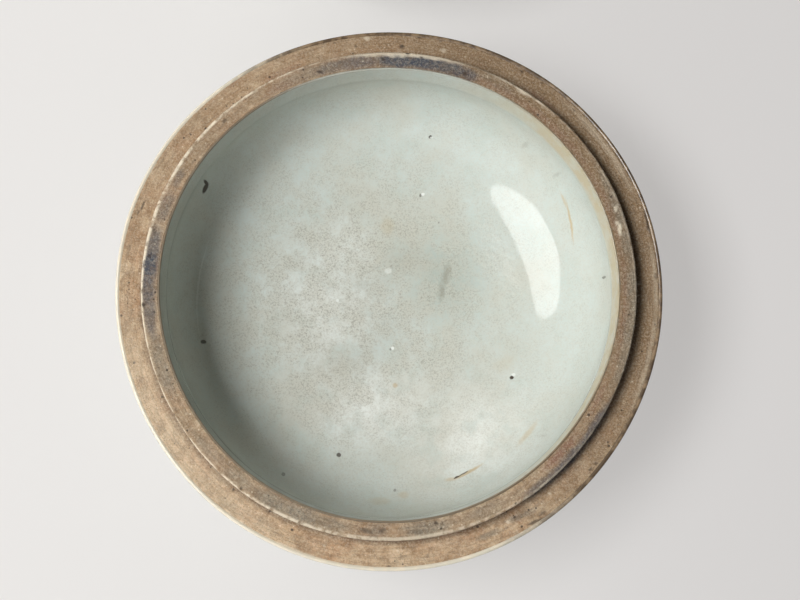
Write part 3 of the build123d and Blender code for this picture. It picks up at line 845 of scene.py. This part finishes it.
def roughen(piece, size, depth, detail=2):
    """Wears a piece's surface inwards by up to depth, in lumps of a size, both in mm."""
    cloud = bpy.data.textures.new(piece.name + "_lumps", "CLOUDS")
    cloud.noise_scale = size * MM
    cloud.noise_depth = detail
    bpy.context.view_layer.objects.active = piece
    wear = piece.modifiers.new("Wear", "DISPLACE")
    wear.texture = cloud
    wear.texture_coords = "LOCAL"
    wear.mid_level = 1.0
    wear.strength = depth * MM
    bpy.ops.object.modifier_apply(modifier=wear.name)


def smooth(piece):
    """Shades a piece smooth, apart from its sharp edges."""
    bpy.ops.object.select_all(action="DESELECT")
    piece.select_set(True)
    bpy.context.view_layer.objects.active = piece
    bpy.ops.object.shade_smooth_by_angle(angle=radians(45))


# How the base warped in firing, in mm at the ledge's edge: its shrinking, the lobes as angle, spread in
# degrees and height, the ripple over them, and the least that it lies inside the solids' circle
WARP_SHRINK = -0.27
WARP_LOBES = [
    (30, 35, 0.27), (150, 30, 0.30), (270, 35, 0.27), (90, 30, -0.2), (210, 30, -0.25), (330, 30, -0.2),
]
WARP_RIPPLE = 0.06
WARP_LEAST = 0.02


def warp(piece):
    """Moves a base piece's points inwards, as the base shrank a little out of round in the kiln."""
    edge_radius = OUTER_RADIUS / MM
    for point in piece.data.vertices:
        x, y, z = point.co
        far = hypot(x, y)
        if far < MM:
            continue
        turn = degrees(atan2(y, x))
        out = WARP_SHRINK
        for middle, spread, rise in WARP_LOBES:
            off = (turn - middle + 180) % 360 - 180
            out += rise * exp(-(off / spread) ** 2)
        out += WARP_RIPPLE * noise.noise(Vector((3 * cos(radians(turn)), 3 * sin(radians(turn)), 0.3)))
        scale = 1 + min(out, -WARP_LEAST) / edge_radius
        point.co.x = x * scale
        point.co.y = y * scale
    piece.data.update()


def read_places(piece):
    """Gives a piece's points as rows of x, y and z."""
    places = numpy.empty(len(piece.data.vertices) * 3, dtype=numpy.float32)
    piece.data.vertices.foreach_get("co", places)
    return places.reshape(-1, 3).astype(float)


# Seed of the draws that fray the marks on the clay, which follow the clock if they have none
FRAY_SEED = 7


def stain(piece):
    """Stores each kind of mark on the clay as an attribute of the piece's points, from 0 to 1."""
    noise.seed_set(FRAY_SEED)
    # the marks' edges are frayed by 0.22 mm, in lumps of 0.9 mm
    lump = 0.9 * MM
    reach = 0.22 * MM
    places = read_places(piece)
    shifts = numpy.array([noise.noise_vector(point.co / lump) for point in piece.data.vertices])
    ragged = places + reach * shifts
    turns = numpy.arctan2(ragged[:, 1], ragged[:, 0])
    radii = numpy.hypot(ragged[:, 0], ragged[:, 1])
    for kind, (table, edge) in CLAY_MARKS.items():
        strongest = numpy.zeros(len(places))
        for turn, radius, half_length, half_width, strength, slant in table:
            along = ((turns - radians(turn) + pi) % (2 * pi) - pi) * radius
            across = radii / MM - radius
            lean = radians(slant)
            forward = (along * cos(lean) + across * sin(lean)) / half_length
            sideways = (across * cos(lean) - along * sin(lean)) / half_width
            part = numpy.clip((1 + edge - numpy.hypot(forward, sideways)) / (2 * edge), 0, 1)
            strongest = numpy.maximum(strongest, strength * part * part * (3 - 2 * part))
        layer = piece.data.attributes.new(kind, "FLOAT", "POINT")
        layer.data.foreach_set("value", strongest.astype(numpy.float32))


def hollow_moves(sizes, depth, steps):
    """Gives the base's hollow from its middle up to the crease, sunk by depth, with its start and its end.

    All heights below the crease follow from it, so a smaller undercut also lifts the floor: 0.06 mm puts it
    7.1 mm above the foot, and 0.15 mm puts it at 6.3 mm.
    """
    mouth = OUTER_RADIUS - sizes.ledge_width - sizes.flange_thickness
    crease = mouth - sizes.mouth_taper
    crease_height = RIM_HEIGHT - sizes.crease_depth
    corner = (crease + sizes.undercut - sizes.shoulder_reach) / (1 - sin(sizes.shoulder_lean))
    shoulder = (sizes.shoulder_reach - sizes.floor_reach) / (sin(sizes.shoulder_lean) - sin(sizes.floor_lean))
    floor = sizes.floor_reach / sin(sizes.floor_lean)
    over = acos((corner - sizes.undercut) / corner)
    corner_middle = (crease + sizes.undercut - corner, crease_height - corner * sin(over))
    shoulder_middle = (
        corner_middle[0] + (corner - shoulder) * sin(sizes.shoulder_lean),
        corner_middle[1] + (shoulder - corner) * cos(sizes.shoulder_lean),
    )
    floor_middle = shoulder_middle[1] + (floor - shoulder) * cos(sizes.floor_lean)
    start = (0.0, floor_middle - floor - depth)
    moves = [
        ("arc", 0.0, floor_middle, degrees(sizes.floor_lean), steps[0]),
        ("arc", *shoulder_middle, degrees(sizes.shoulder_lean - sizes.floor_lean), steps[1]),
        ("arc", *corner_middle, 90 - degrees(sizes.shoulder_lean) + degrees(over), steps[2]),
    ]
    end = (crease + depth * cos(over), crease_height + depth * sin(over))
    return start, moves, end


def backwards(moves):
    """Gives arcs in the other order and the other way round."""
    return [(kind, radius, height, -swing, steps) for kind, radius, height, swing, steps in reversed(moves)]


def side_places(sizes):
    """Gives the middle of the base's side round, and the slope of its underside in degrees."""
    middle_radius = OUTER_RADIUS - sizes.side_round
    run = middle_radius + sizes.side_round * sin(sizes.underside_slope) - sizes.foot_radius
    middle_height = (
        sizes.foot_height + run * tan(sizes.underside_slope) + sizes.side_round * cos(sizes.underside_slope)
    )
    return (middle_radius, middle_height), degrees(sizes.underside_slope)


class SEALBOX_OT_base_clay(Operator):
    """Turns the base's clay body, with its foot ring, its bare ledge and its raised bare flange"""

    bl_idname = "sealbox.base_clay"
    bl_label = "Turn the base's clay"

    def execute(self, context):
        sizes = context.scene.sealbox_sizes
        start, hollow = hollow_moves(sizes, sizes.glaze, (2, 1, 4))[:2]
        flange = OUTER_RADIUS - sizes.ledge_width
        mouth = flange - sizes.flange_thickness
        top = RIM_HEIGHT - sizes.clay_drop
        ledge = LEDGE_HEIGHT - sizes.clay_drop / 2
        side = OUTER_RADIUS - sizes.glaze
        (side_radius, side_height), slope = side_places(sizes)
        foot_outer = sizes.foot_radius - sizes.glaze
        foot_inner = sizes.foot_radius - sizes.foot_width + sizes.glaze
        foot_top = sizes.foot_height - sizes.glaze * 0.2
        corner = 0.45 * MM
        fillet = 0.35 * MM
        foot_round = 0.5 * MM
        moves = hollow + [
            ("line", mouth + 0.18 * MM, top - 0.3 * MM, 1),
            ("line", mouth + 0.3 * MM, top - 0.02 * MM, 1),
            ("line", flange - corner, top - 0.03 * MM, 9),
            ("arc", flange - corner, top - corner - 0.03 * MM, -90, 5),
            ("line", flange, ledge + fillet, 6),
            ("arc", flange + fillet, ledge + fillet, 90, 4),
            ("line", side - fillet, ledge, 13),
            ("arc", side - fillet, ledge - fillet, -90, 3),
            ("line", side, side_height, 2),
            ("arc", side_radius, side_height, slope - 90, 5),
            ("line", foot_outer, foot_top, 1),
            ("line", foot_outer, foot_round, 2),
            ("arc", foot_outer - foot_round, foot_round, -90, 4),
            ("line", foot_inner + foot_round, 0.0, 4),
            ("arc", foot_inner + foot_round, foot_round, -90, 4),
            ("line", foot_inner, RECESS_HEIGHT, 2),
            ("line", 0.0, RECESS_HEIGHT, 2),
        ]
        piece = turn_piece("base_clay", "Stained biscuit", start, moves, 1200)
        # slow lumps of 6 mm, and grit of 0.5 mm, both worn in by up to 0.1 mm
        roughen(piece, 6.0, 0.10, detail=1)
        roughen(piece, 0.5, 0.10, detail=3)
        warp(piece)
        stain(piece)
        smooth(piece)
        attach(piece, "base")
        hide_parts("base_body")
        return {"FINISHED"}


class SEALBOX_OT_base_glaze(Operator):
    """Turns the base's coats of glaze: in the hollow, outside, and in the recess of the foot"""

    bl_idname = "sealbox.base_glaze"
    bl_label = "Turn the base's glaze"

    def execute(self, context):
        sizes = context.scene.sealbox_sizes
        self.line_hollow(sizes)
        self.coat_outside(sizes)
        self.coat_recess(sizes)
        return {"FINISHED"}

    def line_hollow(self, sizes):
        """Lines the hollow up to a soft lip on the flange's inner edge."""
        start, seen = hollow_moves(sizes, 0.0, (32, 9, 26))[:2]
        back, back_crease = hollow_moves(sizes, sizes.glaze, (3, 2, 5))[1:]
        mouth = OUTER_RADIUS - sizes.ledge_width - sizes.flange_thickness
        lip = 0.2 * MM
        top = RIM_HEIGHT - 0.15 * MM
        moves = seen + [
            ("line", mouth - 0.04 * MM, top - lip, 8),
            ("arc", mouth - 0.04 * MM + lip, top - lip, -90, 5),
            ("line", mouth + 0.2 * MM, top - 0.03 * MM, 1),
            ("line", mouth + 0.32 * MM, top - 0.15 * MM, 1),
            ("line", mouth + 0.3 * MM, top - 0.5 * MM, 1),
            ("line", *back_crease, 2),
        ] + backwards(back)
        piece = turn_piece("base_hollow_coat", "Speckled bowl glaze", start, moves, 768)
        warp(piece)
        smooth(piece)
        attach(piece, "base")
        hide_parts("base_inside_glaze")

    def coat_outside(self, sizes):
        """Coats the outside from the ledge's edge down to the foot's bare band."""
        (side_radius, side_height), slope = side_places(sizes)
        top = LEDGE_HEIGHT - MARGIN
        bead = 0.38 * MM
        clay = OUTER_RADIUS - sizes.glaze
        foot_clay = sizes.foot_radius - sizes.glaze
        back = sizes.side_round - sizes.glaze
        start = (clay - 0.25 * MM, top - 0.14 * MM)
        moves = [
            ("line", clay - 0.08 * MM, top - 0.03 * MM, 1),
            ("line", OUTER_RADIUS - bead, top, 1),
            ("arc", OUTER_RADIUS - bead, top - bead, -90, 5),
            ("line", OUTER_RADIUS, side_height, 6),
            ("arc", side_radius, side_height, slope - 90, 28),
            ("line", sizes.foot_radius + 0.3 * MM, sizes.foot_height + 0.06 * MM, 4),
            ("line", sizes.foot_radius, sizes.foot_height - 0.3 * MM, 2),
            ("line", sizes.foot_radius, sizes.bare_foot + 0.15 * MM, 2),
            ("arc", sizes.foot_radius - 0.15 * MM, sizes.bare_foot + 0.15 * MM, -90, 3),
            ("line", foot_clay, sizes.bare_foot, 1),
            ("line", foot_clay, sizes.foot_height - 0.1 * MM, 1),
            ("line", side_radius + back * sin(radians(slope)), side_height - back * cos(radians(slope)), 1),
            ("arc", side_radius, side_height, 90 - slope, 6),
            ("line", clay, top - 0.6 * MM, 1),
            ("line", *start, 1),
        ]
        piece = turn_piece("base_outside_coat", "Ringed base glaze", start, moves, 768)
        warp(piece)
        smooth(piece)
        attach(piece, "base")
        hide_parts("base_side_glaze")

    def coat_recess(self, sizes):
        """Coats the recess inside the foot ring."""
        inner = sizes.foot_radius - sizes.foot_width
        seen = RECESS_HEIGHT - sizes.glaze
        start = (0.0, seen)
        moves = [
            ("line", inner - 0.4 * MM, seen, 16),
            ("arc", inner - 0.4 * MM, seen - 0.4 * MM, -90, 4),
            ("line", inner, sizes.bare_foot + 0.15 * MM, 2),
            ("arc", inner + 0.15 * MM, sizes.bare_foot + 0.15 * MM, 90, 3),
            ("line", inner + sizes.glaze, sizes.bare_foot, 1),
            ("line", inner + sizes.glaze, RECESS_HEIGHT, 1),
            ("line", 0.0, RECESS_HEIGHT, 2),
        ]
        piece = turn_piece("base_recess_coat", "Ringed base glaze", start, moves, 512)
        warp(piece)
        smooth(piece)
        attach(piece, "base")
        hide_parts("base_underside_glaze")


def lid_places(sizes):
    """Gives the lid's crown radius and angle, its side middle, and its hollow's ceiling, angle and middle."""
    side_middle = (LID_RADIUS - sizes.lid_side_round, sizes.lid_crown_rise + sizes.lid_side_round)
    squares = side_middle[0] ** 2 + side_middle[1] ** 2 - sizes.lid_side_round ** 2
    crown = squares / (2 * sizes.lid_crown_rise)
    crown_angle = asin(side_middle[0] / (crown - sizes.lid_side_round))
    ceiling = crown - sizes.lid_thickness
    hollow_radius = sizes.lid_mouth - sizes.glaze - sizes.lid_hollow_round
    hollow_angle = asin(hollow_radius / (ceiling - sizes.lid_hollow_round))
    hollow_middle = (hollow_radius, crown - (ceiling - sizes.lid_hollow_round) * cos(hollow_angle))
    return crown, degrees(crown_angle), side_middle, ceiling, degrees(hollow_angle), hollow_middle


class SEALBOX_OT_lid_clay(Operator):
    """Turns the lid's clay body, with its bare rim and bare mouth"""

    bl_idname = "sealbox.lid_clay"
    bl_label = "Turn the lid's clay"

    def execute(self, context):
        sizes = context.scene.sealbox_sizes
        crown, crown_angle, side_middle, ceiling, hollow_angle, hollow_middle = lid_places(sizes)
        start = (0.0, crown - ceiling - sizes.glaze)
        top = LID_HEIGHT - MARGIN
        mouth = sizes.lid_mouth
        side = LID_RADIUS - sizes.glaze
        corner = 0.35 * MM
        moves = [
            ("arc", 0.0, crown, hollow_angle, 3),
            ("arc", *hollow_middle, 90 - hollow_angle, 5),
            ("line", mouth, top - corner, 9),
            ("arc", mouth + corner, top - corner, -90, 4),
            ("line", side - corner, top, 10),
            ("arc", side - corner, top - corner, -90, 3),
            ("line", side, side_middle[1], 2),
            ("arc", *side_middle, crown_angle - 90, 6),
            ("arc", 0.0, crown, -crown_angle, 3),
        ]
        piece = turn_piece("lid_clay", "Plain biscuit", start, moves, 960, LID_Y)
        roughen(piece, 0.5, 0.08, detail=3)
        smooth(piece)
        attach(piece, "lid")
        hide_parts("lid_body")
        return {"FINISHED"}


class SEALBOX_OT_lid_glaze(Operator):
    """Turns the lid's coats of glaze: in its hollow, and over its top and side"""

    bl_idname = "sealbox.lid_glaze"
    bl_label = "Turn the lid's glaze"

    def execute(self, context):
        sizes = context.scene.sealbox_sizes
        crown, crown_angle, side_middle, ceiling, hollow_angle, hollow_middle = lid_places(sizes)
        glazed = sizes.lid_mouth - sizes.glaze
        bare = LID_HEIGHT - sizes.lid_bare_depth
        start = (0.0, crown - ceiling)
        moves = [
            ("arc", 0.0, crown, hollow_angle, 34),
            ("arc", *hollow_middle, 90 - hollow_angle, 26),
            ("line", glazed, bare - 0.15 * MM, 1),
            ("arc", glazed + 0.15 * MM, bare - 0.15 * MM, -90, 3),
            ("line", sizes.lid_mouth + 0.02 * MM, bare - 0.02 * MM, 1),
            ("line", sizes.lid_mouth, hollow_middle[1], 1),
            ("arc", *hollow_middle, hollow_angle - 90, 6),
            ("arc", 0.0, crown, -hollow_angle, 3),
        ]
        lining = turn_piece("lid_hollow_coat", "Speckled lid glaze", start, moves, 768, LID_Y)
        smooth(lining)
        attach(lining, "lid")
        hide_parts("lid_inside_glaze")
        top = LID_HEIGHT - 0.03 * MM
        bead = 0.38 * MM
        clay = LID_RADIUS - sizes.glaze
        moves = [
            ("arc", 0.0, crown, crown_angle, 36),
            ("arc", *side_middle, 90 - crown_angle, 28),
            ("line", LID_RADIUS, top - bead, 6),
            ("arc", LID_RADIUS - bead, top - bead, 90, 5),
            ("line", clay - 0.15 * MM, top - 0.06 * MM, 1),
            ("line", clay, top - 0.6 * MM, 1),
            ("line", clay, side_middle[1], 1),
            ("arc", *side_middle, crown_angle - 90, 7),
            ("arc", 0.0, crown, -crown_angle, 3),
        ]
        shell = turn_piece("lid_outside_coat", "Ringed lid glaze", (0.0, 0.0), moves, 768, LID_Y)
        smooth(shell)
        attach(shell, "lid")
        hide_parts("lid_top_glaze", "lid_side_glaze")
        return {"FINISHED"}


# The camera looks down on the flange's top, from the tilt and the distance that the rim's rings give
CAMERA_TILT = radians(10.5)
CAMERA_DISTANCE = 218.3 * MM
FOCAL_PIXELS = 1385.0
PICTURE_WIDTH = 800.0
RIM_LEFT_OF_MIDDLE = 11.2
RIM_ABOVE_MIDDLE = 13.0
SENSOR_WIDTH = 36.0

# Soft lights: name, what they show in, shape, compass turn, lean from upright, roll, distance, width,
# height, radiance, colour. The window hangs towards -X and is two lights: one lights the matt faces, and the
# other is its bright pane that the glaze mirrors. The sky beside it and a pale wall beyond the lid are dim.
SOFT_LIGHTS = (
    ("window_light", "faces", "RECTANGLE", 187.5, 32, 5, 1.1, 0.40, 0.56, 15.6, "#fcfeff"),
    ("pane_light", "gloss", "ELLIPSE", 182, 28.5, 9, 1.1, 0.52, 0.57, 12.5, "#fcfeff"),
    ("sky_light", "all", "RECTANGLE", 232, 52, 0, 0.9, 0.80, 0.80, 1.4, "#f8fbff"),
    ("wall_light", "all", "RECTANGLE", 132, 62, 0, 0.9, 0.70, 0.50, 0.9, "#fff8f0"),
)
ROOM_LIGHT = 0.06


class SEALBOX_OT_stage(Operator):
    """Lays the floor, and sets the light and the camera"""

    bl_idname = "sealbox.stage"
    bl_label = "Set the stage"

    def execute(self, context):
        self.lay_floor()
        self.hang_lights(context)
        self.set_room(context)
        self.set_camera(context)
        context.scene.view_settings.view_transform = "Standard"
        return {"FINISHED"}

    def lay_floor(self):
        """Lays a wide sheet of pale paper under the box."""
        bpy.ops.object.select_all(action="DESELECT")
        bpy.ops.mesh.primitive_plane_add(size=6.0, location=(0.0, 0.0, 0.0))
        paper = bpy.context.object
        paper.name = "paper_floor"
        bpy.ops.object.mode_set(mode="EDIT")
        bpy.ops.mesh.select_all(action="SELECT")
        bpy.ops.mesh.subdivide(number_cuts=12)
        bpy.ops.object.mode_set(mode="OBJECT")
        paper.data.materials.append(bpy.data.materials["Pale paper"])

    def hang_lights(self, context):
        """Hangs the soft lights over the box, each turned to face it."""
        for name, shown, shape, turn, lean, roll, distance, width, height, radiance, code in SOFT_LIGHTS:
            data = bpy.data.lights.new(name, "AREA")
            data.shape = shape
            data.size = width
            data.size_y = height
            area = width * height * (pi / 4 if shape == "ELLIPSE" else 1)
            data.energy = radiance * pi * area
            data.color = linear(code)[:3]
            light = bpy.data.objects.new(name, data)
            light.visible_glossy = shown != "faces"
            light.visible_diffuse = shown != "gloss"
            context.scene.collection.objects.link(light)
            way = Vector((
                sin(radians(lean)) * cos(radians(turn)),
                sin(radians(lean)) * sin(radians(turn)),
                cos(radians(lean)),
            ))
            facing = Quaternion((0.0, 0.0, 1.0), radians(turn)) @ Quaternion((0.0, 1.0, 0.0), radians(lean))
            light.rotation_mode = "QUATERNION"
            light.rotation_quaternion = facing @ Quaternion((0.0, 0.0, 1.0), radians(roll))
            light.location = Vector((0.0, 0.0, RIM_HEIGHT)) + distance * way

    def set_room(self, context):
        """Gives the room's dim light, and a pale wall behind all that the camera sees."""
        world = bpy.data.worlds.new("Room")
        context.scene.world = world
        world.use_nodes = True
        tree = world.node_tree
        tree.nodes.clear()
        lit = add_node(tree, "ShaderNodeBackground", {
            "Color": (1.0, 0.98, 0.95, 1.0), "Strength": ROOM_LIGHT,
        })
        wall = add_node(tree, "ShaderNodeBackground", {"Color": linear("#e4e3e2"), "Strength": 1.0})
        ray = add_node(tree, "ShaderNodeLightPath")
        seen = add_node(tree, "ShaderNodeMixShader", {
            0: ray.outputs["Is Camera Ray"], 1: lit.outputs[0], 2: wall.outputs[0],
        })
        add_node(tree, "ShaderNodeOutputWorld", {"Surface": seen.outputs[0]})

    def set_camera(self, context):
        """Sets the camera over the box at the photograph's angle."""
        data = bpy.data.cameras.new("camera")
        data.sensor_width = SENSOR_WIDTH
        data.lens = SENSOR_WIDTH * FOCAL_PIXELS / PICTURE_WIDTH
        data.shift_x = RIM_LEFT_OF_MIDDLE / PICTURE_WIDTH
        data.shift_y = -RIM_ABOVE_MIDDLE / PICTURE_WIDTH
        data.clip_start = 0.01
        camera = bpy.data.objects.new("camera", data)
        context.scene.collection.objects.link(camera)
        camera.location = (
            0.0,
            -CAMERA_DISTANCE * sin(CAMERA_TILT),
            RIM_HEIGHT + CAMERA_DISTANCE * cos(CAMERA_TILT),
        )
        camera.rotation_euler = (CAMERA_TILT, 0.0, 0.0)
        context.scene.camera = camera


class SEALBOX_PT_panel(Panel):
    """Lists the steps in the sidebar"""

    bl_idname = "SEALBOX_PT_panel"
    bl_label = "Seal Paste Box"
    bl_space_type = "VIEW_3D"
    bl_region_type = "UI"
    bl_category = "Seal Box"

    def draw(self, context):
        for step in STEPS:
            self.layout.operator(step.bl_idname)
        for group in (context.scene.sealbox_sizes, context.scene.sealbox_colours):
            for name in group.__annotations__:
                self.layout.prop(group, name)


STEPS = (
    SEALBOX_OT_materials,
    SEALBOX_OT_stage,
    SEALBOX_OT_base_clay,
    SEALBOX_OT_base_glaze,
    SEALBOX_OT_lid_clay,
    SEALBOX_OT_lid_glaze,
)
CLASSES = (SealBoxSizes, SealBoxColours) + STEPS + (SEALBOX_PT_panel,)


def register():
    """Registers the property groups, the operators and the panel."""
    for kind in CLASSES:
        bpy.utils.register_class(kind)
    bpy.types.Scene.sealbox_sizes = PointerProperty(type=SealBoxSizes)
    bpy.types.Scene.sealbox_colours = PointerProperty(type=SealBoxColours)


def unregister():
    """Removes what register added."""
    del bpy.types.Scene.sealbox_colours
    del bpy.types.Scene.sealbox_sizes
    for kind in reversed(CLASSES):
        bpy.utils.unregister_class(kind)


def main():
    """Makes the whole scene, one step after the other."""
    register()
    bpy.ops.sealbox.materials()
    bpy.ops.sealbox.stage()
    bpy.ops.sealbox.base_clay()
    bpy.ops.sealbox.base_glaze()
    bpy.ops.sealbox.lid_clay()
    bpy.ops.sealbox.lid_glaze()


if __name__ == "__main__":
    main()
